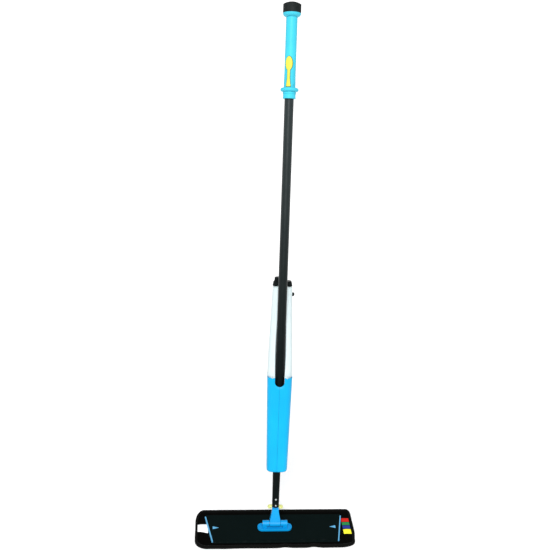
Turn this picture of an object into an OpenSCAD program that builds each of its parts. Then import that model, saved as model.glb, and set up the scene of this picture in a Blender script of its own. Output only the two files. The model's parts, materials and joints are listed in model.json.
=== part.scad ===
// Flat mop with a tank on its handle.
// Handle parts are drawn along +Z from the pitch hinge, with the tank on +Y, then leaned back.
// Head parts are drawn with the sole on z = 0 and the pitch hinge above the origin.
// The finished model's origin is the middle of the hand grip.

/* [Stance] */
// Lean of the handle back from upright, in degrees
lean = 18; // [10:1:25]
// Turn of the hand grip and its trigger about the pole, in degrees
grip_turn = -20; // [-30:1:30]
// Turn of the pole, housing and tank about the handle's axis, in degrees
body_turn = -4.5; // [-6:0.5:6]
// Height of the pitch hinge above the sole
pivot_h = 30; // [29:0.5:34]

/* [Handle] */
// Outer diameter of the main pole
pole_d = 25.4; // [24:0.1:25.5]
// Wall of the main pole
pole_wall = 1.2; // [1:0.1:2]
// Pitch hinge to the underside of the grip collar
collar_z = 1199; // [1150:1:1250]
// Pitch hinge to the rim of the end cap
cap_z = 1423; // [1418:1:1432]
// Outer diameter of the hand grip
grip_d = 30.8; // [30.6:0.1:33]
// Outer diameter of the end cap
cap_d = 48.6; // [44:0.2:50]
// Outer diameter of the flange below the grip
flange_d = 49.4; // [45:0.2:52]
// Outer diameter of the lower tube at its fork
tube_d = 20.4; // [20:0.1:20.6]

/* [Tank and housing] */
// Pitch hinge to the rim of the housing
rim_z = 431.5; // [425:0.5:436]
// Pitch hinge to the foot of the housing
foot_z = 158; // [156:1:161]
// Width of the housing at its rim
rim_w = 70.8; // [70:0.2:73]
// Width of the housing near its foot
foot_w = 58.5; // [57:0.5:60]
// Width of the tank at its top
tank_top_w = 54.6; // [52:0.2:57]
// Depth of the tank at its top
tank_top_d = 46; // [44:0.5:48]
// Pitch hinge to the shoulder of the tank
tank_top_z = 686; // [670:1:700]
// Wall of the tank and of the housing
shell_wall = 2.2; // [1.8:0.1:2.6]

/* [Head] */
// Length of the pad
pad_l = 456; // [440:1:470]
// Depth of the pad
pad_depth = 145; // [140:1:150]
// Length of the frame plate at its back edge
frame_back_l = 398; // [380:1:402]
// Length of the frame plate at its front edge
frame_front_l = 354; // [340:1:360]
// Depth of the frame plate
frame_depth = 110; // [104:1:114]
// Length of the stadium-shaped hinge base
base_l = 99; // [96:1:104]
// Depth of the hinge base
base_depth = 27.5; // [27:0.5:30]

/* [Hidden] */
$fn = 64;
tiny = 0.01;
running = 0.05;             // radial clearance of a running fit
gap = 0.2;                  // gap between the housing halves and their split plane
blue = [0.10, 0.72, 0.97];
head_blue = [0.08, 0.66, 0.96];
charcoal = [0.12, 0.14, 0.14];
dark = [0.05, 0.07, 0.07];
yellow = [0.98, 0.96, 0.30];
steel = [0.75, 0.76, 0.78];
frosted = [0.92, 0.98, 0.99];

// Handle stations, measured up the pole from the pitch hinge
pole_r = pole_d / 2;
pole_bottom_z = 312;
pole_top_z = collar_z + 23;
flange_z = collar_z + 18.5;
flange_h = 10;
grip_z = flange_z + flange_h;
flare_z = cap_z - 1.5;
cavity_r = grip_d / 2 - 2;
cap_h = 29.6;
trigger_z = grip_z + 6.5;   // trigger hinge
trigger_y = -8.5;
trigger_pin_r = 1.5;
paddle_z = grip_z + 63;     // middle of the trigger's spoon
paddle_out_r = grip_d / 2 + 1.4;
rod_r = 2;
rod_top_z = trigger_z - 2.5;
plunger_top_z = 300;
roll_z = 56;                // roll hinge
fork_z = 50;                // lower end of the fork
rivet_z = 74;
roll_pin_r = 2.5;
hose_y = 16.2;
hose_r = 3;
grip_middle_z = 1330;

// Tank
tank_y = 40;                // middle of the tank's top, behind the pole
tank_floor_z = 302;
spout_y = 36;
spout_r = 7;
neck_x = -4.5;              // the filling neck stands a little to the left
neck_r = 14;
neck_top_z = tank_top_z + 18;
front_y = -19;              // front face of the housing
back_y = 62;                // back face of the housing at its rim
lip_depth = 1.3;            // depth of the dished lip round the pole notch
groove_r = pole_r + 2.3;
screw_spots = [[27, 184], [29, 218], [22.5, 291]];   // [y, z] of the housing screws
screw_r = 1.5;
// Half width of the housing at height z
function housing_half(z) =
    (foot_w + (rim_w - foot_w) * (z - foot_z - 10) / (rim_z - foot_z - 10)) / 2;

// Head heights above the sole
sole_h = 6;
backing_top = 9;
frame_z = 10;
frame_t = 4;
frame_top = frame_z + frame_t;
frame_y = -2.2;             // middle of the frame plate
pad_y = 2.2;                // middle of the pad
pad_corner = 21;
rim_t = 6;                  // width of the binding around the pad
strip_w = 3.4;
hub_r = 9.6;
hub_w = 30;
ear_in = 16;
ear_out = 35.6;
ear_r = 8.4;
pitch_pin_r = 3;
base_y = -2.1;              // middle of the hinge base, in front of the pitch hinge
base_rim_h = 6;
screw_x = 42;               // places of the hinge base's screws
screw_y = 6;
yoke_clear_r = 12.2;        // room that the yoke leaves for the fork as it rolls

// ---------- placing ----------
module at_head() {
    translate([0, -grip_middle_z * sin(lean), -pivot_h - grip_middle_z * cos(lean)]) children();
}
module at_handle() {
    at_head() translate([0, 0, pivot_h]) rotate([-lean, 0, 0]) children();
}
module at_body() {
    at_handle() rotate([0, 0, body_turn]) children();
}
module at_grip() {
    at_handle() rotate([0, 0, grip_turn]) children();
}

// ---------- shared shapes ----------
module along_x(r, x0, x1) {
    translate([x0, 0, 0]) rotate([0, 90, 0]) cylinder(r = r, h = x1 - x0);
}
module along_y(r, y0, y1) {
    translate([0, y1, 0]) rotate([90, 0, 0]) cylinder(r = r, h = y1 - y0);
}
module tube(r_out, r_in, h) {
    difference() {
        cylinder(r = r_out, h = h);
        translate([0, 0, -1]) cylinder(r = r_in, h = h + 2);
    }
}
module rounded_plate(l, d, r, h) {
    linear_extrude(h) {
        square([l - 2 * r, d], center = true);
        square([l, d - 2 * r], center = true);
        for (x = [-1, 1], y = [-1, 1])
            translate([x * (l / 2 - r), y * (d / 2 - r)]) circle(r);
    }
}
// One level of a loft: a rounded rectangle of width w from y0 to y1, at height z
module level(z, w, y0, y1, r) {
    for (x = [-1, 1], y = [y0 + r, y1 - r])
        translate([x * (w / 2 - r), y, z]) cylinder(r = r, h = tiny, $fn = 32);
}
// Rivet or screw head, domed towards +Z
module domed_head(r, h) {
    rotate_extrude() intersection() {
        translate([0, h - r * 1.25]) circle(r * 1.25);
        square([r, h]);
    }
}
// Coil spring standing on z = 0
function ring_pts(p, a, r, n) = [for (i = [0:n - 1]) let (b = 360 * i / n)
    [(p + r * cos(b)) * cos(a), (p + r * cos(b)) * sin(a), r * sin(b)]];
module coil(mean_r, wire_r, h, turns) {
    sides = 8;
    steps = 14 * turns;
    pts = [for (s = [0:steps], p = ring_pts(mean_r, 360 * s * turns / steps, wire_r, sides))
        p + [0, 0, wire_r + (h - 2 * wire_r) * s / steps]];
    faces = concat(
        [[for (i = [0:sides - 1]) i]],
        [for (s = [0:steps - 1], i = [0:sides - 1]) let (j = (i + 1) % sides)
            [s * sides + i, (s + 1) * sides + i, (s + 1) * sides + j, s * sides + j]],
        [[for (i = [sides - 1:-1:0]) steps * sides + i]]);
    polyhedron(points = pts, faces = faces, convexity = 8);
}

// ---------- grip and trigger ----------
module end_cap() {
    dome_r = 46;
    edge_r = 4;
    color(charcoal) at_grip() difference() {
        union() {
            translate([0, 0, cap_z]) rotate_extrude() {
                square([cap_d / 2, cap_h - edge_r - 4]);
                translate([0, cap_h - edge_r - 4 - tiny]) intersection() {
                    translate([0, -dome_r + edge_r + 4]) circle(dome_r, $fn = 128);
                    square([cap_d / 2, edge_r + 4]);
                }
            }
            translate([0, 0, cap_z - 22]) cylinder(r = cavity_r - running, h = 22 + tiny);
        }
        translate([0, 0, cap_z - 23]) cylinder(r = cavity_r - 3, h = 20);
    }
}
// Spoon outline of the trigger, grown by m all round; y runs up the grip
module spoon(m) {
    half_w = 9.4;
    half_h = 18.5;
    stem_w = 3.5;
    translate([0, paddle_z])
        polygon([for (a = [0:12:348]) [(half_w + m) * cos(a), (half_h + m) * sin(a)]]);
    translate([-stem_w - m, trigger_z - 2]) square([2 * (stem_w + m), paddle_z - trigger_z - 8]);
    polygon([[-6 - m, trigger_z - 4 - m], [6 + m, trigger_z - 4 - m],
             [stem_w + m, trigger_z + 18], [-stem_w - m, trigger_z + 18]]);
}
module spoon_cut(m) {
    rotate([90, 0, 0]) linear_extrude(40) spoon(m);
}
module grip() {
    flare_r = cap_d / 2 - 0.2;
    color(blue) at_grip() difference() {
        rotate_extrude() {
            // collar with its bottom lip
            translate([0, collar_z]) square([17.2, 20]);
            translate([0, collar_z]) square([17.8, 2.2]);
            translate([0, flange_z - 6]) square([18.1, 8]);
            // flange with a rounded edge
            translate([0, flange_z]) square([flange_d / 2 - flange_h / 2, flange_h]);
            translate([flange_d / 2 - flange_h / 2, flange_z + flange_h / 2]) circle(flange_h / 2);
            // hand grip, slightly fuller towards the flange
            polygon([[0, grip_z - 1], [grip_d / 2 + 0.5, grip_z - 1], [grip_d / 2 + 0.5, grip_z + 14],
                     [grip_d / 2, grip_z + 34], [grip_d / 2, flare_z - 4], [0, flare_z - 4]]);
            // bowl under the end cap
            polygon(concat([[0, flare_z - 8]],
                [for (a = [0:15:90]) [grip_d / 2 + (flare_r - grip_d / 2) * sin(a), flare_z - 8 * cos(a)]],
                [[flare_r, cap_z], [0, cap_z]]));
        }
        translate([0, 0, collar_z - 1]) cylinder(r = pole_r + running, h = pole_top_z - collar_z + 1);
        translate([0, 0, pole_top_z - tiny]) cylinder(r = cavity_r, h = cap_z - pole_top_z + 1);
        spoon_cut(1.2);
        translate([0, trigger_y, trigger_z]) along_x(trigger_pin_r + 0.01, -14, 14);
    }
}
module trigger() {
    in_r = paddle_out_r - 3;
    color(yellow) at_grip() difference() {
        union() {
            // spoon, curved with the grip
            intersection() {
                spoon_cut(0);
                translate([0, 0, trigger_z - 6]) tube(paddle_out_r, in_r, 90);
            }
            // stiffening web behind the stem
            translate([-2, -in_r - 0.6, trigger_z]) cube([4, 4, 44]);
            // hinge barrel and the web that carries it
            translate([0, trigger_y, trigger_z]) along_x(3.4, -6, 6);
            translate([-6, -in_r - 0.4, trigger_z - 2.4]) cube([12, in_r + trigger_y + 0.4, 4.8]);
            // arm that bears on the rod
            translate([-4, trigger_y, trigger_z - 2]) cube([8, -trigger_y + 3.8, 4]);
        }
        translate([0, trigger_y, trigger_z]) along_x(trigger_pin_r + running, -9, 9);
    }
}
module trigger_pin() {
    color(steel) at_grip() translate([0, trigger_y, trigger_z]) along_x(trigger_pin_r, -12.8, 12.8);
}
module trigger_spring() {
    spring_y = paddle_out_r - 3.6;
    color(steel) at_grip() translate([0, -spring_y, paddle_z - 7.5]) rotate([-90, 0, 0])
        coil(3.2, 0.5, spring_y + cavity_r - 1.2, 5);
}
module push_rod() {
    color(steel) at_body() {
        translate([0, 0, plunger_top_z]) cylinder(r = rod_r, h = rod_top_z - plunger_top_z);
        translate([0, 0, rod_top_z - 3]) cylinder(r = 4.5, h = 3);
    }
}
module pole() {
    color(charcoal) at_body() translate([0, 0, pole_bottom_z])
        tube(pole_r, pole_r - pole_wall, pole_top_z - pole_bottom_z);
}

// ---------- housing ----------
// Solid outer form of the housing, shrunk by m
module housing_form(m, top) {
    hull() {
        level(foot_z + m, foot_w - 8 - 2 * m, front_y + 3.5 + m, 37 - m, 13);
        level(foot_z + 1.5 + m, foot_w - 3.6 - 2 * m, front_y + 1.6 + m, 39.5 - m, 14);
        level(foot_z + 4 + m, foot_w - 1 - 2 * m, front_y + 0.4 + m, 41 - m, 14.5 - m / 2);
        level(foot_z + 10, foot_w - 2 * m, front_y + m, 42 - m, 14.5 - m);
        level(top, rim_w - 2 * m, front_y + m, back_y - m, 17 - m);
    }
}
module housing_shell() {
    difference() {
        housing_form(0, rim_z);
        housing_form(shell_wall, rim_z + 1);
        // notch for the pole in the front wall
        translate([0, 0, rim_z - 12]) along_y(pole_r + 1, front_y - 1, -5);
        translate([-pole_r - 1, front_y - 1, rim_z - 12]) cube([2 * pole_r + 2, 14, 20]);
        // dished lip round the notch
        hull() for (z = [rim_z - 12, rim_z + 12]) translate([0, front_y - tiny, z])
            rotate([-90, 0, 0]) cylinder(r1 = pole_r + 7, r2 = pole_r + 1, h = lip_depth);
        // shallow dips in the rim beside the pole
        for (x = [-20.5, 20.5]) translate([x, 0, rim_z + 2.6]) along_y(4.6, front_y - 1, -5);
        // way out for the lower tube and the hose
        translate([0, 0, foot_z - 1]) cylinder(r = 11.4, h = 8);
        translate([0, hose_y, foot_z - 1]) cylinder(r = hose_r + 0.5, h = 8);
    }
}
module housing_left() {
    color(blue) at_body() {
        difference() {
            housing_shell();
            translate([-gap, -60, 100]) cube([60, 160, 400]);
        }
        for (s = screw_spots) translate([0, s[0], s[1]]) difference() {
            along_x(3.5, -housing_half(s[1]) + 0.8, -gap);
            along_x(screw_r + 0.01, -16, 1);
        }
    }
}
module housing_right() {
    color(blue) at_body() difference() {
        union() {
            difference() {
                housing_shell();
                translate([gap - 60, -60, 100]) cube([60, 160, 400]);
            }
            for (s = screw_spots) translate([0, s[0], s[1]])
                along_x(5.5, 16, housing_half(s[1]) - 0.8);
            for (s = screw_spots) translate([0, s[0], s[1]]) along_x(3.5, gap, 17);
        }
        for (s = screw_spots) translate([0, s[0], s[1]]) {
            along_x(screw_r + 0.2, -1, 30);
            along_x(3.6, 20, 60);
        }
    }
}
module housing_screws() {
    color(steel) at_body() for (s = screw_spots) translate([0, s[0], s[1]]) {
        along_x(screw_r, -14, 21);
        translate([20, 0, 0]) rotate([0, 90, 0]) difference() {
            cylinder(r = 3.2, h = 2.4);
            translate([0, 0, 1]) cylinder(r = 1.5, h = 2, $fn = 6);
        }
    }
}

// ---------- tank ----------
module tank_form(m) {
    wide = rim_w - 0.8;
    seat = shell_wall + 0.4;
    // part that stands above the housing
    hull() {
        level(rim_z + 0.5 + m, wide - 2 * m, -7 + m, back_y - 0.8 - m, 16 - m);
        level(rim_z + 60, wide - 2 - 2 * m, -1 + m, back_y + 0.2 - m, 16 - m);
        level(tank_top_z - 4 - m / 2, tank_top_w - 2 * m,
              tank_y - tank_top_d / 2 + m, tank_y + tank_top_d / 2 - m, 16 - m);
        level(tank_top_z - m, tank_top_w - 8 - 2 * m,
              tank_y - tank_top_d / 2 + 4 + m, tank_y + tank_top_d / 2 - 4 - m, 13 - m);
    }
    // part that nests in the housing
    hull() {
        level(rim_z + 2.5 + m, rim_w - 2 * (seat + m), -7 + m, back_y - seat - m, 14 - m);
        level(tank_floor_z + 6 + m, foot_w + 4.6 - 2 * (seat + m), -7 + m, 51.5 - seat - m, 12 - m);
        level(tank_floor_z + m, foot_w - 6 - 2 * (seat + m), -2 + m, 46 - seat - m, 9 - m);
    }
}
module tank() {
    wall = shell_wall;
    color(frosted, 0.5) at_body() difference() {
        union() {
            difference() {
                tank_form(0);
                difference() {
                    tank_form(wall);
                    translate([0, 0, tank_floor_z - 1]) cylinder(r = groove_r + wall, h = 400);
                }
                translate([0, 0, tank_floor_z - 1]) cylinder(r = groove_r, h = 400);
                // room for the cup that holds the foot of the pole
                translate([0, 0, tank_floor_z - 1]) cylinder(r = 17, h = 40);
            }
            translate([neck_x, tank_y, tank_top_z - 3]) cylinder(r = neck_r, h = neck_top_z - tank_top_z + 3);
            translate([0, spout_y, tank_floor_z - 34.4]) cylinder(r = spout_r, h = 36.4);
        }
        translate([neck_x, tank_y, tank_top_z - 8]) cylinder(r = neck_r - 2, h = 30);
        translate([0, spout_y, tank_floor_z - 38]) cylinder(r = spout_r - 2.5, h = 44);
        translate([0, tank_y, tank_top_z - 25]) along_x(3, 20, 40);
    }
}
module tank_cap() {
    over = 0.6;
    color(charcoal) at_body() difference() {
        hull() {
            level(tank_top_z - 0.5, tank_top_w + 2 * over,
                  tank_y - tank_top_d / 2 - over, tank_y + tank_top_d / 2 + over, 16);
            level(tank_top_z + 9, tank_top_w - 2,
                  tank_y - tank_top_d / 2 - over, tank_y + tank_top_d / 2 + over, 16);
            level(tank_top_z + 13, tank_top_w - 6.5, tank_y - tank_top_d / 2 + 2.5,
                  tank_y + tank_top_d / 2 - 2.5, 14);
        }
        // arch in the skirt, front and back
        translate([0, 0, tank_top_z - 4]) rotate([90, 0, 0]) linear_extrude(160, center = true)
            polygon([[-21, -2], [-17, 4], [-13, 5.5], [13, 5.5], [17, 4], [21, -2]]);
        // fits over the tank's shoulder
        hull() {
            level(tank_top_z - 4, tank_top_w + 0.1, tank_y - tank_top_d / 2 - 0.05,
                  tank_y + tank_top_d / 2 + 0.05, 15.8);
            level(tank_top_z + tiny, tank_top_w - 7.9, tank_y - tank_top_d / 2 + 3.95,
                  tank_y + tank_top_d / 2 - 3.95, 13);
        }
        translate([neck_x, tank_y, tank_top_z - 1]) cylinder(r = neck_r + 0.1, h = 20);
    }
}
module fill_cap() {
    r = 18.6;
    flutes = 14;
    color(charcoal) at_body() translate([neck_x, tank_y, tank_top_z + 13.3]) difference() {
        rotate_extrude() {
            square([r, 8]);
            square([r - 2, 10]);
            translate([r - 2, 8]) circle(2);
        }
        translate([0, 0, -1]) cylinder(r = neck_r + 0.3, h = 7.4);
        for (i = [0:flutes - 1]) rotate([0, 0, 360 * i / flutes])
            translate([r + 1, 0, -1]) cylinder(r = 2, h = 12, $fn = 16);
    }
}
module fill_cap_seal() {
    color(dark) at_body() translate([neck_x, tank_y, neck_top_z + 0.05])
        tube(neck_r - 0.2, neck_r - 2.4, 1.5);
}
module vent_plug() {
    x_wall = tank_top_w / 2 + 0.9;
    color(charcoal) at_body() translate([0, tank_y, tank_top_z - 25]) {
        along_x(2.95, x_wall - 5, x_wall + 2);
        translate([x_wall + 0.2, 0, 0]) rotate([0, 90, 0]) cylinder(r1 = 5, r2 = 5.6, h = 2.4);
        translate([x_wall + 2.6, 0, 0]) rotate([0, 90, 0]) domed_head(5.6, 4);
    }
}
module outlet_seal() {
    color(dark) at_body() translate([0, spout_y, 266.05])
        tube(spout_r - 0.1, spout_r - 2.4, 1.4);
}

// ---------- valve, hose and nozzle ----------
module valve_block() {
    color(charcoal) at_body() difference() {
        union() {
            // cup for the foot of the pole
            translate([0, 0, pole_bottom_z - 4]) cylinder(r = 16, h = 30);
            // body
            translate([0, 0, 228]) cylinder(r = 13, h = pole_bottom_z - 230);
            // cup for the head of the lower tube
            translate([0, 0, 204]) cylinder(r = 13, h = 26);
            // arm and cup for the tank's spout
            translate([-6, 0, 248]) cube([12, spout_y, 14]);
            translate([0, spout_y, 248]) cylinder(r = 9.6, h = 32);
            // hose barb
            translate([-4, 0, 236]) cube([8, hose_y + 3, 8]);
            translate([0, hose_y, 226]) cylinder(r = 1.9, h = 12);
        }
        translate([0, 0, pole_bottom_z]) cylinder(r = pole_r + running, h = 40);
        translate([0, 0, 262]) cylinder(r = 6, h = 60);
        translate([0, 0, 238]) cylinder(r = 3, h = 30);
        translate([0, 0, 203]) cylinder(r = tube_d / 2 + running, h = 27);
        translate([0, spout_y, 266]) cylinder(r = spout_r + 0.15, h = 20);
        translate([0, spout_y, 252]) cylinder(r = 3, h = 16);
        translate([0, 0, 255]) along_y(2, 0, spout_y);
        translate([0, 0, 240]) along_y(1.2, 0, hose_y);
        translate([0, hose_y, 224]) cylinder(r = 1.2, h = 16);
    }
}
module valve_spool() {
    color(yellow) at_body() {
        translate([0, 0, 244.5]) cylinder(r = 3 - running, h = 8);
        translate([0, 0, 252]) cylinder(r = 1.6, h = plunger_top_z - 252);
        translate([0, 0, 285]) cylinder(r = 6 - running, h = 3);
    }
}
module valve_spring() {
    color(steel) at_body() translate([0, 0, 262.1]) coil(4.2, 0.5, 22.8, 6);
}
module feed_hose() {
    color(dark) at_body() translate([0, hose_y, 58.5]) tube(hose_r, 1.95, 176.5);
}
module nozzle() {
    bar_w = 45;
    bar_r = 5.5;
    bar_z = 42.5;
    bar_y = 17.5;
    saddle_out = 12.9;
    color(yellow) at_body() difference() {
        union() {
            translate([0, bar_y, bar_z]) along_x(bar_r, bar_r - bar_w / 2, bar_w / 2 - bar_r);
            for (x = [-1, 1]) translate([x * (bar_w / 2 - bar_r), bar_y, bar_z]) sphere(bar_r);
            // jets that look forward past the neck
            for (x = [-1, 1]) translate([x * (bar_w / 2 - 4.5), 0, bar_z]) along_y(3.4, bar_y - 7.4, bar_y);
            // stalk for the hose
            translate([0, hose_y, bar_z]) cylinder(r = 5, h = 15.5);
            translate([0, hose_y, bar_z]) cylinder(r = 1.9, h = 21.5);
            // saddle on the lower tube
            translate([-6, 5, 70]) cube([12, 5.2, 16]);
            translate([-6, 9.8, 54]) cube([12, saddle_out - 9.8, 32]);
        }
        // pockets for the heads of the fork's rivets
        for (z = [rivet_z, roll_z]) translate([0, 0, z]) along_y(4.2, 2, 12);
        translate([0, 0, 50]) cylinder(r = tube_d / 2 + 0.1, h = 60);
        translate([0, hose_y, bar_z]) cylinder(r = 1.2, h = 24);
        translate([0, bar_y, bar_z]) along_x(1.6, 4 - bar_w / 2, bar_w / 2 - 4);
        for (x = [-1, 1]) translate([x * (bar_w / 2 - 4.5), 0, bar_z]) along_y(1, bar_y - 9, bar_y);
        translate([0, hose_y, 58.4]) tube(hose_r + 0.1, 1.85, 40);
    }
}
module lower_tube() {
    r = tube_d / 2;
    color(dark) at_handle() difference() {
        union() {
            translate([0, 0, 64]) cylinder(r = r, h = 164);
            translate([0, 0, 90]) cylinder(r1 = r, r2 = r + 0.7, h = 58);
            translate([0, 0, 148]) cylinder(r = r + 0.7, h = 22);
        }
        translate([0, 0, 60]) cylinder(r = r - 1.4, h = 180);
        translate([0, 0, rivet_z]) along_y(roll_pin_r + 0.02, -15, 15);
    }
}
module tube_fork() {
    r = tube_d / 2;
    tip_r = 2.5;
    color(dark) at_handle() difference() {
        union() {
            intersection() {
                translate([0, 0, fork_z]) cylinder(r = r, h = 13.95);
                union() {
                    translate([0, 0, fork_z + tip_r]) along_y_box(r, 20);
                    for (x = [-1, 1]) translate([x * (r - tip_r), 0, fork_z + tip_r]) along_y(tip_r, -20, 20);
                    translate([tip_r - r, -20, fork_z]) cube([2 * (r - tip_r), 40, 6]);
                }
            }
            translate([0, 0, 63.9]) cylinder(r = r - 1.45, h = 30);
        }
        translate([-20, -4.1, fork_z - 1]) cube([40, 8.2, 15]);
        translate([0, 0, roll_z]) along_y(roll_pin_r + 0.01, -20, 20);
        translate([0, 0, rivet_z]) along_y(roll_pin_r + 0.01, -20, 20);
    }
}
module along_y_box(half_w, h) {
    translate([-half_w, -20, 0]) cube([2 * half_w, 40, h]);
}
module cross_rivet(z) {
    out = tube_d / 2 + 0.15;
    translate([0, 0, z]) {
        along_y(roll_pin_r, -out, out);
        for (s = [-1, 1]) translate([0, s * out, 0]) rotate([-90 * s, 0, 0]) domed_head(3, 1.5);
    }
}
module fork_rivet() {
    color(steel) at_handle() cross_rivet(rivet_z);
}
module roll_pin() {
    color(steel) at_handle() cross_rivet(roll_z);
}

// ---------- head ----------
module yoke() {
    tongue_r = 7.2;
    half = 7;                   // half thickness of the neck at its top
    color(head_blue) at_handle() difference() {
        union() {
            along_x(hub_r, -hub_w / 2, hub_w / 2);
            // neck that widens down to the hub, cut round under the fork
            difference() {
                union() {
                    hull() {
                        for (x = [-1, 1]) translate([x * 7.3, 0, 37]) along_y(2, -half, half);
                        for (x = [-1, 1]) translate([x * 9.3, 0, 28]) along_y(2, -half - 0.4, half + 0.4);
                        for (x = [-1, 1]) translate([x * 11.6, 0, 17]) along_y(2, -half - 1, half + 1);
                        translate([-hub_w / 2, -half - 1.2, 0]) cube([hub_w, 2 * half + 2.4, 10]);
                    }
                    // shoulders beside the fork
                    for (x = [-1, 1]) translate([x * 6.8, 0, 46.1]) along_y(2.5, -half, half);
                    translate([-9.3, -half, 34]) cube([18.6, 2 * half, 12.1]);
                }
                for (y = [-20, 4]) translate([0, 0, roll_z]) along_y(yoke_clear_r, y, y + 16);
            }
            // tongue in the fork
            translate([0, 0, roll_z]) along_y(tongue_r, -4, 4);
            translate([-tongue_r, -4, 38]) cube([2 * tongue_r, 8, roll_z - 38]);
        }
        translate([0, 0, roll_z]) along_y(roll_pin_r + running, -20, 20);
        along_x(pitch_pin_r + running, -30, 30);
    }
}
module pitch_pin() {
    color(steel) at_head() translate([0, 0, pivot_h]) along_x(pitch_pin_r, -ear_out - 0.5, ear_out + 0.5);
}
module stadium(l, d, h) {
    linear_extrude(h) {
        square([l - d, d], center = true);
        for (x = [-1, 1]) translate([x * (l - d) / 2, 0]) circle(d / 2);
    }
}
module base_holes(r, z0, h) {
    for (x = [-1, 1], y = [-1, 1]) translate([x * screw_x, base_y + y * screw_y, z0]) cylinder(r = r, h = h);
}
module hinge_base() {
    base_floor_h = 3;
    ear_foot = 12.5;            // length of the foot that carries each ear
    color(head_blue) at_head() difference() {
        union() {
            // floor and raised rim
            translate([0, base_y, frame_top]) stadium(base_l, base_depth, base_floor_h);
            translate([0, base_y, frame_top]) difference() {
                stadium(base_l, base_depth, base_rim_h);
                translate([0, 0, -1]) stadium(base_l - 6, base_depth - 6, 10);
            }
            // bosses over the screws
            translate([0, 0, frame_top]) base_holes(3.4, 0, base_rim_h - 1);
            // ears
            for (s = [-1, 1]) scale([s, 1, 1]) {
                translate([0, 0, pivot_h]) along_x(ear_r, ear_in, ear_out);
                translate([ear_out - ear_foot, -ear_r, frame_top])
                    cube([ear_foot, 2 * ear_r, pivot_h - frame_top]);
            }
        }
        translate([0, 0, pivot_h]) along_x(pitch_pin_r + 0.01, -60, 60);
        base_holes(1.95, frame_top - 1, base_rim_h - 1);
    }
}
module base_screws() {
    color(steel) at_head() difference() {
        union() {
            base_holes(1.9, frame_z + 0.2, 7.8);
            base_holes(3.3, frame_z + 0.2, 1.9);
        }
        base_holes(1.4, frame_z - 1, 2.2);
    }
}
// Half length of the frame plate at depth y from its middle
function frame_half(y) =
    (frame_back_l + frame_front_l) / 4 + (frame_back_l - frame_front_l) / 2 * y / frame_depth;
module frame_plate() {
    d = frame_depth / 2;
    color(dark) at_head() translate([0, frame_y, 0]) difference() {
        union() {
            translate([0, 0, frame_z]) linear_extrude(frame_t)
                polygon([[-frame_half(-d), -d], [frame_half(-d), -d],
                         [frame_half(d), d], [-frame_half(d), d]]);
            // ribs along the front edge
            for (y = [1.6, 6.6])
                translate([4 - frame_half(-d), y - d - 0.9, frame_top - tiny])
                    cube([2 * frame_half(-d) - 8, 1.8, 1.4]);
        }
        translate([0, -frame_y, 0]) {
            base_holes(2.1, frame_z - 1, 10);
            base_holes(3.45, frame_z - 1, 3.2);
        }
    }
}
module end_strips() {
    near = 4 - frame_depth / 2;
    far = frame_depth / 2 - 8;
    color(blue) at_head() translate([0, frame_y, 0]) for (s = [-1, 1]) scale([s, 1, 1])
        translate([0, 0, frame_z]) linear_extrude(frame_t + 1.6)
            polygon([[frame_half(near), near], [frame_half(near) + strip_w, near],
                     [frame_half(far) + strip_w, far], [frame_half(far), far]]);
}
module sight_marks() {
    color(blue) at_head() for (s = [-1, 1]) scale([s, 1, 1]) translate([0, 0.5, frame_top])
        linear_extrude(0.6) polygon([[160.5, 0], [178, 5.4], [178, -5.4]]);
}
module hook_strips() {
    color(dark) at_head() for (y = [-1, 1]) translate([0, frame_y + y * 34, frame_z - 0.95])
        rounded_plate(320, 24, 4, 0.95);
}

// ---------- pad ----------
module pad_layer(l, d, r, z0, z1) {
    at_head() translate([0, pad_y, z0]) rounded_plate(l, d, r, z1 - z0);
}
module pad_sole() {
    color([0.05, 0.05, 0.05])
        pad_layer(pad_l - 2 * rim_t, pad_depth - 2 * rim_t, pad_corner - rim_t, 0, sole_h);
}
module pad_backing() {
    color([0.03, 0.03, 0.03])
        pad_layer(pad_l - 2 * rim_t, pad_depth - 2 * rim_t, pad_corner - rim_t, sole_h, backing_top);
}
module pad_binding() {
    color([0.12, 0.12, 0.12]) difference() {
        pad_layer(pad_l, pad_depth, pad_corner, 0.5, 11);
        pad_layer(pad_l - 2 * rim_t, pad_depth - 2 * rim_t, pad_corner - rim_t, 0, 12);
    }
}
// Flat piece of cloth lying on the pad between two corners
module patch(x0, x1, y0, y1) {
    at_head() translate([x0, y0, backing_top]) cube([x1 - x0, y1 - y0, 0.7]);
}
module pad_label() {
    color("white") patch(-220, -198, -12, 20);
}
module tab_red() {
    color([0.90, 0.20, 0.16]) patch(200, 220, 25, 39);
}
module tab_green() {
    color([0.16, 0.59, 0.35]) patch(200, 220, 11, 23);
}
module tab_blue() {
    color([0.24, 0.24, 0.63]) patch(200, 220, -3.5, 9);
}
module tab_yellow() {
    color(yellow) patch(200, 220, -24, -6);
}

end_cap();
grip();
trigger();
trigger_pin();
trigger_spring();
push_rod();
pole();
housing_left();
housing_right();
housing_screws();
tank();
tank_cap();
fill_cap();
fill_cap_seal();
vent_plug();
outlet_seal();
valve_block();
valve_spool();
valve_spring();
feed_hose();
nozzle();
lower_tube();
tube_fork();
fork_rivet();
roll_pin();
yoke();
pitch_pin();
hinge_base();
base_screws();
frame_plate();
end_strips();
sight_marks();
hook_strips();
pad_backing();
pad_sole();
pad_binding();
pad_label();
tab_red();
tab_green();
tab_blue();
tab_yellow();
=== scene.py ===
"""Looks of the flat mop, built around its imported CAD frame. Metres, +Z up."""

import json
import math

import bpy
import numpy as np
from mathutils import Matrix, Vector, noise
from mathutils.bvhtree import BVHTree


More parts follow.
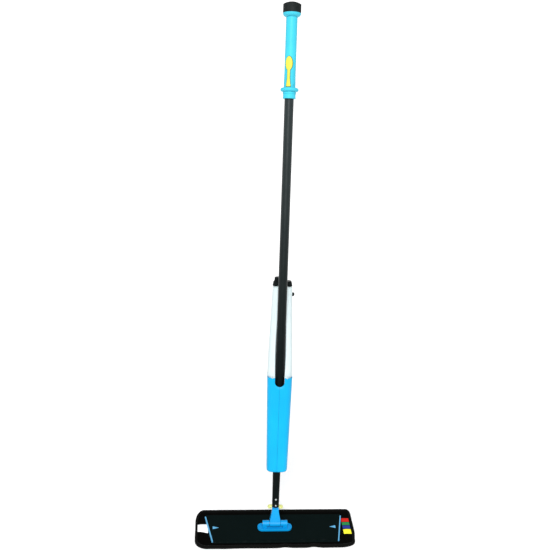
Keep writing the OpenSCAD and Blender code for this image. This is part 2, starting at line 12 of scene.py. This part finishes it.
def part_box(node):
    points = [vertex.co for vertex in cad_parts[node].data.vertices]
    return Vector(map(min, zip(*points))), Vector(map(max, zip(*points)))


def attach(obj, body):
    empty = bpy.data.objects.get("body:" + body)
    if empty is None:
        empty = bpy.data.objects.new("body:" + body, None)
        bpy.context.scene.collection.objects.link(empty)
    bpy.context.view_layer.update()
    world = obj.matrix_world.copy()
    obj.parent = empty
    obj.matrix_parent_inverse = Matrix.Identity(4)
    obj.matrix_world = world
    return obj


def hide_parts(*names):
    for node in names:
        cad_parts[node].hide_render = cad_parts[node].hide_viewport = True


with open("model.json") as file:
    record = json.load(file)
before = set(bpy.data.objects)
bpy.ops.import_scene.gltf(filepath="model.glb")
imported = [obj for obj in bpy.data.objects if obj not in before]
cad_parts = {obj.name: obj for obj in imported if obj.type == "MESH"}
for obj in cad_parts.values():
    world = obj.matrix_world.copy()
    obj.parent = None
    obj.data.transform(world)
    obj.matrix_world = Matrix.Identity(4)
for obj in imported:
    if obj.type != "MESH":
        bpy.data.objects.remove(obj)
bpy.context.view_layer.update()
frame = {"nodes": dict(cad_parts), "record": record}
mm = 0.001

# ---------------------------------------------------------------- places
sole_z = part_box("pad_sole")[0].z
pin_low, pin_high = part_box("pitch_pin")
pivot = (pin_low + pin_high) / 2
HEAD = Vector((0.0, pivot.y, sole_z))               # on the floor, below the pitch hinge
LEAN = math.radians(18)                             # the pole's lean, which streaks and ripples follow


# ---------------------------------------------------------------- camera
SENSOR = 36                                         # width in millimetres
LENS = 50.9276                                      # focal length in millimetres
DISTANCE = 1.909                                    # from the camera to the point it looks at
ANGLES = (24.616, -6.021, 3.733)                    # degrees down, round to the left, and of roll
LOOKS_AT = Vector((-0.0463, 0, 0.8165))             # from the floor below the pitch hinge


def make_camera():
    """A camera at eye height, a little above the mop's top and left of its front, looking down at it."""
    down, around, roll = (math.radians(angle) for angle in ANGLES)
    back = Vector((math.sin(around) * math.cos(down), -math.cos(around) * math.cos(down), math.sin(down)))
    level = Vector((math.cos(around), math.sin(around), 0))
    upright = back.cross(level)
    right = math.cos(roll) * level + math.sin(roll) * upright
    up = -math.sin(roll) * level + math.cos(roll) * upright
    data = bpy.data.cameras.new("camera")
    data.sensor_width = SENSOR
    data.lens = LENS
    data.clip_end = 50
    camera = bpy.data.objects.new("camera", data)
    turn = Matrix((right, up, back)).transposed().to_4x4()
    camera.matrix_world = Matrix.Translation(HEAD + LOOKS_AT + back * DISTANCE) @ turn
    bpy.context.scene.collection.objects.link(camera)
    bpy.context.scene.camera = camera


make_camera()


# ---------------------------------------------------------------- materials
class Nodes:
    """Short calls for building a node material."""

    def __init__(self, name):
        self.material = bpy.data.materials.new(name)
        self.material.use_nodes = True
        self.tree = self.material.node_tree
        self.shader = self.tree.nodes["Principled BSDF"]
        self.coords = self.tree.nodes.new("ShaderNodeTexCoord").outputs["Object"]

    def link(self, source, target):
        self.tree.links.new(source, target)

    def node(self, kind, **settings):
        made = self.tree.nodes.new(kind)
        for key, value in settings.items():
            setattr(made, key, value)
        return made

    def along_pole(self, scale):
        """Object coordinates turned upright to the leaning pole and scaled along each axis."""
        mapping = self.node("ShaderNodeMapping")
        mapping.inputs["Scale"].default_value = scale
        mapping.inputs["Rotation"].default_value = (LEAN, 0, 0)
        self.link(self.coords, mapping.inputs["Vector"])
        return mapping.outputs["Vector"]

    def noise(self, scale, detail, rough=0.5, vector=None):
        made = self.node("ShaderNodeTexNoise")
        made.inputs["Scale"].default_value = scale
        made.inputs["Detail"].default_value = detail
        made.inputs["Roughness"].default_value = rough
        self.link(vector or self.coords, made.inputs["Vector"])
        return made.outputs["Fac"]

    def math(self, operation, first, second):
        made = self.node("ShaderNodeMath", operation=operation)
        for value, socket in ((first, made.inputs[0]), (second, made.inputs[1])):
            if isinstance(value, (int, float)):
                socket.default_value = value
            else:
                self.link(value, socket)
        return made.outputs[0]

    def spread(self, value, low, high, to_low=0.0, to_high=1.0):
        """value remapped from low..high, and clamped."""
        made = self.node("ShaderNodeMapRange")
        ends = {"From Min": low, "From Max": high, "To Min": to_low, "To Max": to_high}
        for name, number in ends.items():
            made.inputs[name].default_value = number
        self.link(value, made.inputs["Value"])
        return made.outputs["Result"]

    def mix(self, fac, first, second):
        """Colour first where fac is 0 and second where it is 1."""
        made = self.node("ShaderNodeMix", data_type="RGBA")
        sockets = [s for s in made.inputs if s.type == "RGBA"]
        for value, socket in ((first, sockets[0]), (second, sockets[1])):
            if isinstance(value, (tuple, list)):
                socket.default_value = (*value, 1)
            else:
                self.link(value, socket)
        if isinstance(fac, (int, float)):
            made.inputs["Factor"].default_value = fac
        else:
            self.link(fac, made.inputs["Factor"])
        return next(s for s in made.outputs if s.type == "RGBA")

    def bump(self, height, distance, strength, normal=None):
        made = self.node("ShaderNodeBump")
        made.inputs["Distance"].default_value = distance
        made.inputs["Strength"].default_value = strength
        self.link(height, made.inputs["Height"])
        if normal:
            self.link(normal, made.inputs["Normal"])
        return made.outputs["Normal"]

    def rounded(self, radius):
        """A normal that rounds every sharp edge to that radius."""
        made = self.node("ShaderNodeBevel", samples=4)
        made.inputs["Radius"].default_value = radius
        return made.outputs["Normal"]

    def edges(self, radius):
        """1 on sharp edges and 0 on open faces, from how far the rounded normal leans."""
        geometry = self.node("ShaderNodeNewGeometry")
        dot = self.node("ShaderNodeVectorMath", operation="DOT_PRODUCT")
        self.link(self.rounded(radius), dot.inputs[0])
        self.link(geometry.outputs["Normal"], dot.inputs[1])
        open_face, sharp_edge = 0.97, 0.75
        return self.spread(dot.outputs["Value"], open_face, sharp_edge)

    def set(self, **inputs):
        """Set or link the shader's inputs, whose names have underscores for spaces here."""
        for name, value in inputs.items():
            socket = self.shader.inputs[name.replace("_", " ")]
            if isinstance(value, (tuple, list)) and len(value) == 3 and socket.type == "RGBA":
                value = (*value, 1)
            if isinstance(value, (int, float, tuple, list)):
                socket.default_value = value
            else:
                self.link(value, socket)
        return self.material


def shade(colour, factor):
    """The colour darkened or lightened by a factor."""
    return tuple(min(1.0, c * factor) for c in colour)


def moulded(name, colour, rough=0.32, grain=900, grain_depth=0.02 * mm, edge=0.5 * mm, wear=0.25, ior=1.25):
    """Moulded plastic: slight colour drift, a fine grain, rounded edges that are rubbed a little paler."""
    n = Nodes(name)
    drift = n.spread(n.noise(14, 4), 0.3, 0.7)
    base = n.mix(drift, shade(colour, 0.93), shade(colour, 1.05))
    scuffs = n.spread(n.noise(60, 6, 0.7), 0.52, 0.8)
    worn = n.math("MULTIPLY", n.edges(edge * 1.6), scuffs)
    worn = n.math("MULTIPLY", worn, wear)
    paler = tuple(c + (1 - c) * 0.35 for c in colour)
    colour_out = n.mix(worn, base, paler)
    rubbed_and_painted_light = n.spread(n.noise(35, 5, 0.65), 0.35, 0.75, rough * 0.85, rough * 1.25)
    normal = n.bump(n.noise(grain, 2), grain_depth, 0.6, n.rounded(edge))
    return n.set(Base_Color=colour_out, Roughness=rubbed_and_painted_light, Normal=normal, IOR=ior)


def coated_tube(name, colour, painted_light_colour, rough):
    """Black powder coat on a drawn tube: orange peel, faint streaks, and painted light that makes it greyer
    and glossier towards the top.
    """
    n = Nodes(name)
    streaks = n.spread(n.noise(1.0, 3, vector=n.along_pole((220, 220, 6))), 0.3, 0.7)
    marks = n.spread(n.noise(45, 8, 0.75), 0.66, 0.74)
    base = n.mix(streaks, shade(colour, 0.85), shade(colour, 1.15))
    height = n.node("ShaderNodeSeparateXYZ")
    n.link(n.coords, height.inputs["Vector"])
    painted_light_starts, painted_light_full = -0.95, -0.15             # heights in the frame
    # Painted light: between these heights the coat turns greyer and glossier towards the top, standing in for
    # the light that falls on the pole's upper part.
    rubbed_and_painted_light = n.math("POWER", n.spread(height.outputs["Z"], painted_light_starts, painted_light_full), 1.6)
    painted_light_gloss = n.spread(rubbed_and_painted_light, 0.0, 0.6, 0.12, 0.75)
    base = n.mix(n.math("MULTIPLY", rubbed_and_painted_light, n.spread(streaks, 0, 1, 0.8, 1.0)), base, painted_light_colour)
    base = n.mix(n.math("MULTIPLY", marks, 0.25), base, (0.05, 0.055, 0.055))
    roughness = n.spread(n.noise(25, 4), 0.3, 0.7, rough * 0.85, rough * 1.2)
    normal = n.bump(n.noise(1400, 2), 0.02 * mm, 0.7)
    return n.set(Base_Color=base, Roughness=roughness, Normal=normal, IOR=1.25, Specular_IOR_Level=painted_light_gloss)


def bright_steel(name, rough=0.34):
    """Zinc-plated steel with fine turning marks and dulled patches."""
    n = Nodes(name)
    dull = n.spread(n.noise(240, 4), 0.4, 0.7)
    base = n.mix(dull, (0.42, 0.46, 0.46), (0.22, 0.25, 0.25))
    roughness = n.spread(n.noise(500, 3), 0.3, 0.7, rough * 0.7, rough * 1.5)
    normal = n.bump(n.noise(2500, 2), 0.01 * mm, 0.6, n.rounded(0.25 * mm))
    return n.set(Base_Color=base, Metallic=1.0, Roughness=roughness, Normal=normal)


def soft_rubber(name, colour, rough=0.6):
    """Matt rubber with a spark-eroded grain and a little dust in it."""
    n = Nodes(name)
    dust = n.spread(n.noise(90, 6, 0.7), 0.45, 0.8)
    base = n.mix(n.math("MULTIPLY", dust, 0.35), colour, tuple(c + 0.03 for c in colour))
    roughness = n.spread(n.noise(60, 4), 0.3, 0.7, rough * 0.85, rough * 1.1)
    normal = n.bump(n.noise(1500, 3), 0.05 * mm, 0.8, n.rounded(0.7 * mm))
    return n.set(Base_Color=base, Roughness=roughness, Normal=normal, IOR=1.2)


def clouded_plastic(name, thin, thick, see_through=0.2):
    """Translucent moulded plastic: cloudy wall, soft ripples and light scattered inside it."""
    n = Nodes(name)
    cloud = n.spread(n.noise(22, 4, 0.6), 0.3, 0.7)
    base = n.mix(cloud, thin, thick)
    roughness = n.spread(n.noise(70, 3), 0.3, 0.7, 0.34, 0.5)
    ripples = n.noise(1.0, 3, vector=n.along_pole((60, 60, 18)))
    rippled = n.bump(ripples, 0.35 * mm, 0.5, n.rounded(0.8 * mm))
    normal = n.bump(n.noise(1600, 2), 0.015 * mm, 0.5, rippled)
    return n.set(Base_Color=base, Roughness=roughness, Normal=normal, IOR=1.46,
                 Transmission_Weight=see_through, Subsurface_Weight=0.3, Subsurface_Scale=0.006,
                 Subsurface_Radius=(1.0, 1.1, 1.1), Specular_IOR_Level=0.3)


def cloth(name, colour, thread=2600, weave_depth=0.12 * mm, sheen=0.35, fleck=0.5, painted_weave_shade=0.35, ior=1.1):
    """Woven or knitted cloth: crossing threads, slubs, a soft sheen, and painted shade that darkens the
    weave. thread is 2 pi over their spacing.
    """
    n = Nodes(name)
    node_factor = 20                                # the wave node multiplies its scale by this
    waves = []
    for axis in "XY":
        wave = n.node("ShaderNodeTexWave", wave_type="BANDS", bands_direction=axis, wave_profile="SIN")
        wave.inputs["Scale"].default_value = thread / node_factor
        wave.inputs["Distortion"].default_value = 0.6
        wave.inputs["Detail Scale"].default_value = 3
        n.link(n.coords, wave.inputs["Vector"])
        waves.append(wave.outputs["Fac"])
    weave = n.math("MAXIMUM", waves[0], waves[1])
    slub = n.noise(420, 5, 0.7)
    height = n.math("ADD", weave, n.math("MULTIPLY", slub, 0.8))
    lit = n.spread(n.noise(160, 6, 0.7), 0.35, 0.75)
    base = n.mix(n.math("MULTIPLY", lit, fleck), colour, tuple(c * 1.25 + 0.002 for c in colour))
    # Painted shade: the colour is darkened along the weave's pattern, as if shaded in the weave.
    base = n.mix(n.math("MULTIPLY", weave, painted_weave_shade), base, shade(colour, 0.6))
    return n.set(Base_Color=base, Roughness=0.92, Normal=n.bump(height, weave_depth, 0.9),
                 Sheen_Weight=sheen, Sheen_Roughness=0.45, Sheen_Tint=(0.8, 0.82, 0.85),
                 IOR=ior)


def dyed_tape(name, colour):
    """Smooth dyed ribbon: cloth with a fine weave and hardly any sheen."""
    return cloth(name, colour, weave_depth=0.06 * mm, fleck=0.3, sheen=0.05, painted_weave_shade=0.2)


BLUE = (0.002, 0.330, 0.610)
GRIP_BLUE = (0.050, 0.490, 0.630)
HEAD_BLUE = (0.001, 0.270, 0.620)
LIGHT_BLUE = (0.110, 0.370, 0.610)
YELLOW = (0.640, 0.600, 0.070)
CLEAR_YELLOW = (0.900, 0.920, 0.340)

materials = {
    "black_rubber": soft_rubber("black_rubber", (0.008, 0.011, 0.011)),
    "blue_plastic": moulded("blue_plastic", BLUE, rough=0.33),
    "grip_plastic": moulded("grip_plastic", GRIP_BLUE, rough=0.4),
    "head_blue_plastic": moulded("head_blue_plastic", HEAD_BLUE, rough=0.34, edge=0.8 * mm,
                                 wear=0.35, ior=1.3),
    "yellow_plastic": moulded("yellow_plastic", YELLOW, rough=0.38, edge=0.4 * mm),
    "clear_yellow_plastic": clouded_plastic("clear_yellow_plastic", CLEAR_YELLOW,
                                            shade(CLEAR_YELLOW, 0.95), 0.3),
    # The pole's second colour is painted light, the greyer tone of its lit upper part.
    "black_pole": coated_tube("black_pole", (0.0022, 0.0042, 0.0042), (0.022, 0.030, 0.031), rough=0.3),
    "black_plastic": moulded("black_plastic", (0.004, 0.006, 0.006), rough=0.42, grain=1300,
                             wear=0.1, ior=1.15),
    "frame_plastic": moulded("frame_plastic", (0.0030, 0.0062, 0.0060), rough=0.6, grain=1100,
                             grain_depth=0.05 * mm, edge=0.7 * mm, wear=0.1, ior=1.04),
    "frosted_tank": clouded_plastic("frosted_tank", (0.63, 0.75, 0.77), (0.68, 0.79, 0.80)),
    "steel": bright_steel("steel"),
    "hose": soft_rubber("hose", (0.012, 0.012, 0.013), rough=0.4),
    "seal": soft_rubber("seal", (0.008, 0.008, 0.008), rough=0.5),
    "light_blue_trim": moulded("light_blue_trim", LIGHT_BLUE, rough=0.4, edge=0.4 * mm),
    "hook_tape": cloth("hook_tape", (0.008, 0.008, 0.008), thread=1800, weave_depth=0.3 * mm),
    "pad_pile": cloth("pad_pile", (0.010, 0.010, 0.010), thread=1400, weave_depth=0.6 * mm, sheen=0.3),
    "pad_cloth": cloth("pad_cloth", (0.0016, 0.0016, 0.0013), sheen=0.02, fleck=0.35, ior=1.03),
    "pad_edge": cloth("pad_edge", (0.0040, 0.0040, 0.0036), thread=3200, sheen=0.06, ior=1.04),
    "white_label": cloth("white_label", (0.92, 0.92, 0.91), weave_depth=0.05 * mm, fleck=0.15,
                         sheen=0.05, painted_weave_shade=0.08),
    "red_tab": dyed_tape("red_tab", (0.560, 0.018, 0.012)),
    "green_tab": dyed_tape("green_tab", (0.025, 0.215, 0.065)),
    "blue_tab": dyed_tape("blue_tab", (0.024, 0.038, 0.250)),
    "yellow_tab": dyed_tape("yellow_tab", (0.930, 0.880, 0.045)),
}


def dress_cad_nodes():
    """Each CAD node takes its slot's material; the grip is a lighter blue than the housing."""
    own = {"grip": "grip_plastic"}
    for part in frame["record"]["subparts"]:
        mesh = frame["nodes"][part["node"]].data
        mesh.materials.clear()
        mesh.materials.append(materials[own.get(part["node"], part["material_slot"])])


dress_cad_nodes()


# ---------------------------------------------------------------- building
def add_piece(name, mesh, slot, body, *replaced):
    """Put a mesh in the scene as a smooth-shaded piece that rides on a body."""
    piece = bpy.data.objects.new(name, mesh)
    bpy.context.scene.collection.objects.link(piece)
    mesh.materials.clear()
    mesh.materials.append(materials[slot])
    for face in mesh.polygons:
        face.use_smooth = True
    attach(piece, body)
    if replaced:
        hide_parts(*replaced)
    return piece


def new_mesh(name, points, faces):
    mesh = bpy.data.meshes.new(name)
    mesh.from_pydata([tuple(p) for p in points], [], faces)
    mesh.update()
    return mesh


def ring_faces(rings, sides, closed=True):
    """Quads between neighbouring rings of points, each ring closed on itself."""
    last = rings if closed else rings - 1
    return [(r * sides + i, r * sides + (i + 1) % sides,
             (r + 1) % rings * sides + (i + 1) % sides, (r + 1) % rings * sides + i)
            for r in range(last) for i in range(sides)]


def modified(mesh, kind, **settings):
    """A copy of the mesh with one modifier applied."""
    holder = bpy.data.objects.new("holder", mesh)
    bpy.context.scene.collection.objects.link(holder)
    modifier = holder.modifiers.new(kind, kind)
    for key, value in settings.items():
        setattr(modifier, key, value)
    made = bpy.data.meshes.new_from_object(holder.evaluated_get(bpy.context.evaluated_depsgraph_get()))
    bpy.data.objects.remove(holder)
    return made


def coordinates(mesh):
    """The mesh's points, one row each."""
    flat = np.empty(len(mesh.vertices) * 3)
    mesh.vertices.foreach_get("co", flat)
    return flat.reshape(-1, 3)


def set_coordinates(mesh, points):
    mesh.vertices.foreach_set("co", points.ravel())
    mesh.update()


def inflated(mesh, pressure, cap):
    """The mesh's points swollen by a short cloth simulation, none moving further than cap."""
    rest = coordinates(mesh)
    scene = bpy.context.scene
    frames = 20
    holder = bpy.data.objects.new("swelling", mesh)
    scene.collection.objects.link(holder)
    cloth = holder.modifiers.new("cloth", "CLOTH")
    cloth.settings.use_pressure = True
    cloth.settings.uniform_pressure_force = pressure
    cloth.settings.effector_weights.gravity = 0
    cloth.point_cache.frame_end = frames
    for step in range(1, frames + 1):
        scene.frame_set(step)
    swollen = bpy.data.meshes.new_from_object(holder.evaluated_get(bpy.context.evaluated_depsgraph_get()))
    moved = coordinates(swollen) - rest
    bpy.data.meshes.remove(swollen)
    bpy.data.objects.remove(holder)
    scene.frame_set(1)
    length = np.maximum(np.linalg.norm(moved, axis=1, keepdims=True), 1e-9)
    return rest + moved * np.minimum(1, cap / length)


def ramp(value, low, high):
    """0 below low, 1 above high, and a smooth rise between."""
    t = np.clip((value - low) / (high - low), 0, 1)
    return t * t * (3 - 2 * t)


def ripple(points, size, seed):
    """Smooth noise between -1 and 1 at each point."""
    return np.array([noise.noise(Vector(p) / size + Vector((seed, seed, seed))) for p in points])


# ---------------------------------------------------------------- pad
pad_low, pad_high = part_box("pad_binding")
pad_middle = (pad_low + pad_high) / 2
half_l = (pad_high.x - pad_low.x) / 2
half_d = (pad_high.y - pad_low.y) / 2 + 2.5 * mm    # the rolled edge bulges a little
frame_low, frame_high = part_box("frame_plate")
hooks_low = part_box("hook_strips")[0]
binding_w = 6 * mm
stitch_inset = 5.2 * mm                             # from the pad's edge to its row of stitches
pad_back = 3 * mm                                   # the pad is stuck on a little behind the middle
right_bulge, left_bulge = 4.8 * mm, 0.8 * mm        # each end is a little fuller than the frame needs
# Heights above the sole
cloth_low, cloth_high = 3.6 * mm, 8.2 * mm          # the upper cloth before it swells,
cloth_least, cloth_most = 3 * mm, 10.5 * mm         # and the space that it may fill
pile_low, pile_high = 0.9 * mm, 5 * mm
binding_z, binding_half_h = 5.5 * mm, 4.9 * mm      # the binding's middle, and half its height
stitch_z = 9.4 * mm
# The pad's corners, anticlockwise from the near right: where they are, and their radii along x and y
PAD_CORNERS = (((1, -1), (46 * mm, 19 * mm)), ((1, 1), (13 * mm, 20 * mm)),
               ((-1, 1), (25 * mm, 50 * mm)), ((-1, -1), (36 * mm, 29 * mm)))
# Shallow buckles in the near edge: place along x, depth and half width
BUCKLES = ((26 * mm, 3.2 * mm, 15 * mm), (108 * mm, 3.0 * mm, 15 * mm), (-90 * mm, 0.8 * mm, 30 * mm))


def pad_outline(inset=0.0, spacing=2.5 * mm):
    """Points round the pad's edge, an even distance apart and pulled in by inset."""
    corners = []
    steps = 16
    for (sx, sy), (rx, ry) in PAD_CORNERS:
        turn = math.atan2(sy, sx) - math.pi / 4
        for k in range(steps + 1):
            a = turn + math.pi / 2 * k / steps
            corners.append((sx * (half_l - rx) + rx * math.cos(a), sy * (half_d - ry) + ry * math.sin(a)))
    corners = np.array(corners + corners[:1])
    along = np.concatenate(([0], np.cumsum(np.linalg.norm(np.diff(corners, axis=0), axis=1))))
    count = int(along[-1] / spacing)
    at = np.linspace(0, along[-1], count, endpoint=False)
    edge = np.stack([np.interp(at, along, corners[:, k]) for k in (0, 1)], axis=1)
    # the right end bulges away from its near corner, and the left end in its near half
    edge[:, 0] += right_bulge * ramp(edge[:, 0], 0, half_l) * ramp(edge[:, 1], -62 * mm, -15 * mm)
    edge[:, 0] -= left_bulge * ramp(-edge[:, 0], 0, half_l) * ramp(-edge[:, 1], 0, 25 * mm)
    for place, depth, width in BUCKLES:
        near = edge[:, 1] < -half_d + 20 * mm
        edge[near, 1] += depth * np.exp(-((edge[near, 0] - place) / width) ** 2)
    wander = ripple(np.column_stack([edge, np.zeros(count)]), 40 * mm, 3.0) * 0.6 * mm
    forward = np.roll(edge, -1, axis=0) - np.roll(edge, 1, axis=0)
    forward /= np.linalg.norm(forward, axis=1, keepdims=True)
    inward = np.column_stack([-forward[:, 1], forward[:, 0]])
    return edge + inward * (inset + wander)[:, None] + (pad_middle.x, pad_middle.y + pad_back), inward


def pad_slab(name, inset, low, high, voxel):
    """A closed slab inside the pad's outline, remeshed into even cells. Heights are above the sole."""
    edge, _ = pad_outline(inset, 4 * mm)
    sides = len(edge)
    points = [(x, y, sole_z + z) for z in (low, high) for x, y in edge]
    faces = ring_faces(2, sides, closed=False)
    faces += [tuple(range(sides - 1, -1, -1)), tuple(range(sides, 2 * sides))]
    return modified(new_mesh(name, points, faces), "REMESH", mode="VOXEL", voxel_size=voxel)


def distance_from_frame(points):
    """How far each point is outside the frame plate's footprint, along the floor."""
    dx = np.maximum(np.abs(points[:, 0]) - frame_high.x, 0)
    dy = np.maximum(np.maximum(frame_low.y - points[:, 1], points[:, 1] - frame_high.y), 0)
    return np.hypot(dx, dy)


def make_pad_cloth():
    """The padded upper side: pressed flat under the frame, soft and slightly crowned around it."""
    mesh = pad_slab("pad_cloth", inset=2.5 * mm, low=cloth_low, high=cloth_high, voxel=4.5 * mm)
    points = inflated(mesh, pressure=4, cap=1.4 * mm)
    upper = points[:, 2] > sole_z + 6 * mm
    free = ramp(distance_from_frame(points), 1 * mm, 7 * mm)
    soft = 0.5 * mm * ripple(points, 26 * mm, 7.0) + 0.25 * mm * ripple(points, 9 * mm, 1.0)
    points[upper, 2] += (free * (soft + 0.4 * mm))[upper]
    pressed = hooks_low.z - 0.05 * mm               # just clear of the hook strips
    ceiling = np.where(free < 0.5, pressed, sole_z + cloth_most)
    points[:, 2] = np.minimum(points[:, 2], ceiling)
    points[:, 2] = np.maximum(points[:, 2], sole_z + cloth_least)
    set_coordinates(mesh, points)
    mesh = modified(mesh, "SUBSURF", levels=1, render_levels=1)
    piece = add_piece("pad_cloth", mesh, "pad_cloth", "pad", "pad_backing")


def make_pad_pile():
    """The looped pile underneath: tufts in rows, flat where they touch the floor."""
    mesh = pad_slab("pad_pile", inset=4.5 * mm, low=pile_low, high=pile_high, voxel=3 * mm)
    points = coordinates(mesh)
    lower = points[:, 2] < sole_z + 3 * mm
    pitch, depth = 7.5 * mm, 0.9 * mm
    tufts = (np.cos(2 * math.pi * points[:, 0] / pitch) * np.cos(2 * math.pi * points[:, 1] / pitch)
             + 0.5 * ripple(points, 5 * mm, 5.0))
    points[lower, 2] -= (depth * np.clip(tufts + 0.2, -0.4, 1))[lower]
    points[:, 2] = np.maximum(points[:, 2], sole_z)
    set_coordinates(mesh, points)
    piece = add_piece("pad_pile", mesh, "pad_pile", "pad", "pad_sole")


def binding_section():
    """The binding's cross-section: inset from the edge, and height above the sole."""
    section = []
    count = 18
    for k in range(count):
        a = 2 * math.pi * k / count
        across, up = (math.copysign(abs(f) ** 0.7, f) for f in (math.cos(a), math.sin(a)))
        flap = 1.4 * mm * max(0, math.cos(a - math.radians(35))) ** 4
        section.append((binding_w / 2 * (1 + across) + flap, binding_z + binding_half_h * up))
    return section


def make_pad_binding():
    """A cloth tape rolled round the edge, puckered where it is sewn."""
    edge, inward = pad_outline()
    section = binding_section()
    points = []
    for k, ((x, y), (ix, iy)) in enumerate(zip(edge, inward)):
        slack = noise.noise(Vector((x, y, 0)) / (11 * mm)) * 0.35 * mm
        pucker = 0.28 * mm * (-1) ** k
        for inset, height in section:
            sewn = ramp(inset, 3.2 * mm, stitch_inset)
            rise = slack * (1 if height > 5 * mm else 0.3) + pucker * sewn * (height > 6 * mm)
            points.append((x + ix * inset, y + iy * inset, max(sole_z + height + rise, sole_z + 0.3 * mm)))
    mesh = new_mesh("pad_binding_tape", points, ring_faces(len(edge), len(section)))
    piece = add_piece("pad_binding_tape", mesh, "pad_edge", "pad", "pad_binding")


def make_binding_stitches():
    """Short round stitches in the row that holds the binding, each a bead with tapered ends."""
    edge, inward = pad_outline(spacing=4 * mm)
    line = edge + inward * stitch_inset
    stitch, spacing, thread = 3.1 * mm, 4.4 * mm, 0.32 * mm
    rings = ((-0.5, 0.3), (-0.38, 0.9), (0.0, 1.15), (0.38, 0.9), (0.5, 0.3))   # place along it, and girth
    sides = 6
    upward = Vector((0, 0, 1))
    points, faces = [], []
    steps = np.concatenate(([0], np.cumsum(np.linalg.norm(np.diff(line, axis=0), axis=1))))
    for start in np.arange(0, steps[-1] - stitch, spacing):
        ends = np.array([[np.interp(at, steps, line[:, k]) for k in (0, 1)]
                         for at in (start, start + stitch)])
        way = Vector((*(ends[1] - ends[0]), 0))
        side = way.normalized().cross(upward)
        middle = Vector((*ends.mean(axis=0), sole_z + stitch_z))
        first = len(points)
        for along, girth in rings:
            for k in range(sides):
                a = 2 * math.pi * k / sides
                out = math.cos(a) * side + math.sin(a) * upward
                points.append(middle + way * along + girth * thread * out)
        faces += [tuple(first + i for i in face) for face in ring_faces(len(rings), sides, closed=False)]
        faces.append(tuple(first + i for i in range(sides - 1, -1, -1)))
        faces.append(tuple(first + (len(rings) - 1) * sides + i for i in range(sides)))
    add_piece("pad_stitches", new_mesh("pad_stitches", points, faces), "pad_edge", "pad")


def cloth_patch(name, slot, corners, under, replaced, creases, curl):
    """A small piece of tape laid on the pad, from its sewn end, which holds the first and last corner,
    to its free end. under holds the surfaces it lies on."""
    thickness = 0.5 * mm
    across, along = 14, 12
    (ax, ay), (bx, by), (cx, cy), (dx, dy) = corners
    points = []
    for j in range(along + 1):
        v = j / along
        for i in range(across + 1):
            u = i / across
            x = (ax * (1 - u) + bx * u) * (1 - v) + (dx * (1 - u) + cx * u) * v
            y = (ay * (1 - u) + by * u) * (1 - v) + (dy * (1 - u) + cy * u) * v
            above = Vector((x, y, sole_z + 30 * mm))
            hits = [surface.ray_cast(above, Vector((0, 0, -1)))[0] for surface in under]
            rest = max([hit.z for hit in hits if hit], default=sole_z + 9 * mm)
            lift = curl * u ** 3 * (0.4 + 0.6 * abs(2 * v - 1))
            lift += creases * (0.5 + 0.5 * noise.noise(Vector((x, y, 0)) / (9 * mm)))
            lift += creases * 0.8 * math.exp(-((v - 0.7 + 0.15 * u) / 0.07) ** 2)
            points.append((x, y, rest + thickness * 0.6 + lift * ramp(u, 0.1, 0.4)))
    faces = [(j * (across + 1) + i, j * (across + 1) + i + 1,
              (j + 1) * (across + 1) + i + 1, (j + 1) * (across + 1) + i)
             for j in range(along) for i in range(across)]
    mesh = modified(new_mesh(name, points, faces), "SOLIDIFY", thickness=thickness, offset=0)
    piece = add_piece(name, mesh, slot, "pad", replaced)


def make_label_and_tabs():
    """A plain white label at the left end, and four colour tabs at the right end."""
    built = bpy.context.evaluated_depsgraph_get()
    under = [BVHTree.FromObject(bpy.data.objects[name], built)
             for name in ("pad_cloth", "pad_binding_tape")]
    low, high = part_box("pad_label")
    cloth_patch("label_cloth", "white_label",
                ((high.x + 7 * mm, low.y - 3 * mm), (low.x - 1 * mm, low.y + 2 * mm),
                 (low.x - 1 * mm, high.y - 3 * mm), (high.x + 7 * mm, high.y + 1 * mm)),
                under, "pad_label", creases=1.1 * mm, curl=0.4 * mm)
    for k, (node, slot) in enumerate((("tab_red", "red_tab"), ("tab_green", "green_tab"),
                                      ("tab_blue", "blue_tab"), ("tab_yellow", "yellow_tab"))):
        low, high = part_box(node)
        lean = 0.8 * mm * (k - 1.5)
        cloth_patch(node + "_cloth", slot,
                    ((low.x, high.y), (high.x + 2.2 * mm, high.y - 0.6 * mm + lean * 0.3),
                     (high.x + 2.6 * mm, low.y - 0.5 * mm + lean * 0.3), (low.x, low.y)),
                    under, node, creases=0.25 * mm, curl=0.7 * mm)


make_pad_cloth()
make_pad_pile()
make_pad_binding()
make_binding_stitches()
make_label_and_tabs()


# ---------------------------------------------------------------- studio
def make_floor():
    """A white floor that runs past the picture's top."""
    reach = 60
    corners = [(-reach, -reach, 0), (reach, -reach, 0), (reach, reach, 0), (-reach, reach, 0)]
    mesh = new_mesh("floor", corners, [(0, 1, 2, 3)])
    floor = bpy.data.objects.new("floor", mesh)
    floor.location = HEAD
    bpy.context.scene.collection.objects.link(floor)
    n = Nodes("floor")
    pale = n.mix(n.spread(n.noise(3, 3), 0.3, 0.7), (0.965, 0.965, 0.965), (0.98, 0.98, 0.98))
    mesh.materials.append(n.set(Base_Color=pale, Roughness=0.9, Specular_IOR_Level=0.0))


def make_light():
    """Even light from the whole sky, and more from a wide patch of it in front of the mop."""
    world = bpy.data.worlds.new("studio")
    world.use_nodes = True
    background = world.node_tree.nodes["Background"]
    background.inputs["Color"].default_value = (1, 1, 1, 1)
    background.inputs["Strength"].default_value = 0.46
    bpy.context.scene.world = world
    data = bpy.data.lights.new("key", "SUN")
    data.energy = 3.4
    data.angle = math.radians(34)
    lamp = bpy.data.objects.new("key", data)
    lamp.rotation_euler = Vector((-0.2, -1.0, 1.0)).to_track_quat("Z", "Y").to_euler()
    bpy.context.scene.collection.objects.link(lamp)
    view = bpy.context.scene.view_settings
    view.view_transform = "Standard"
    view.exposure = 0.12


make_floor()
make_light()
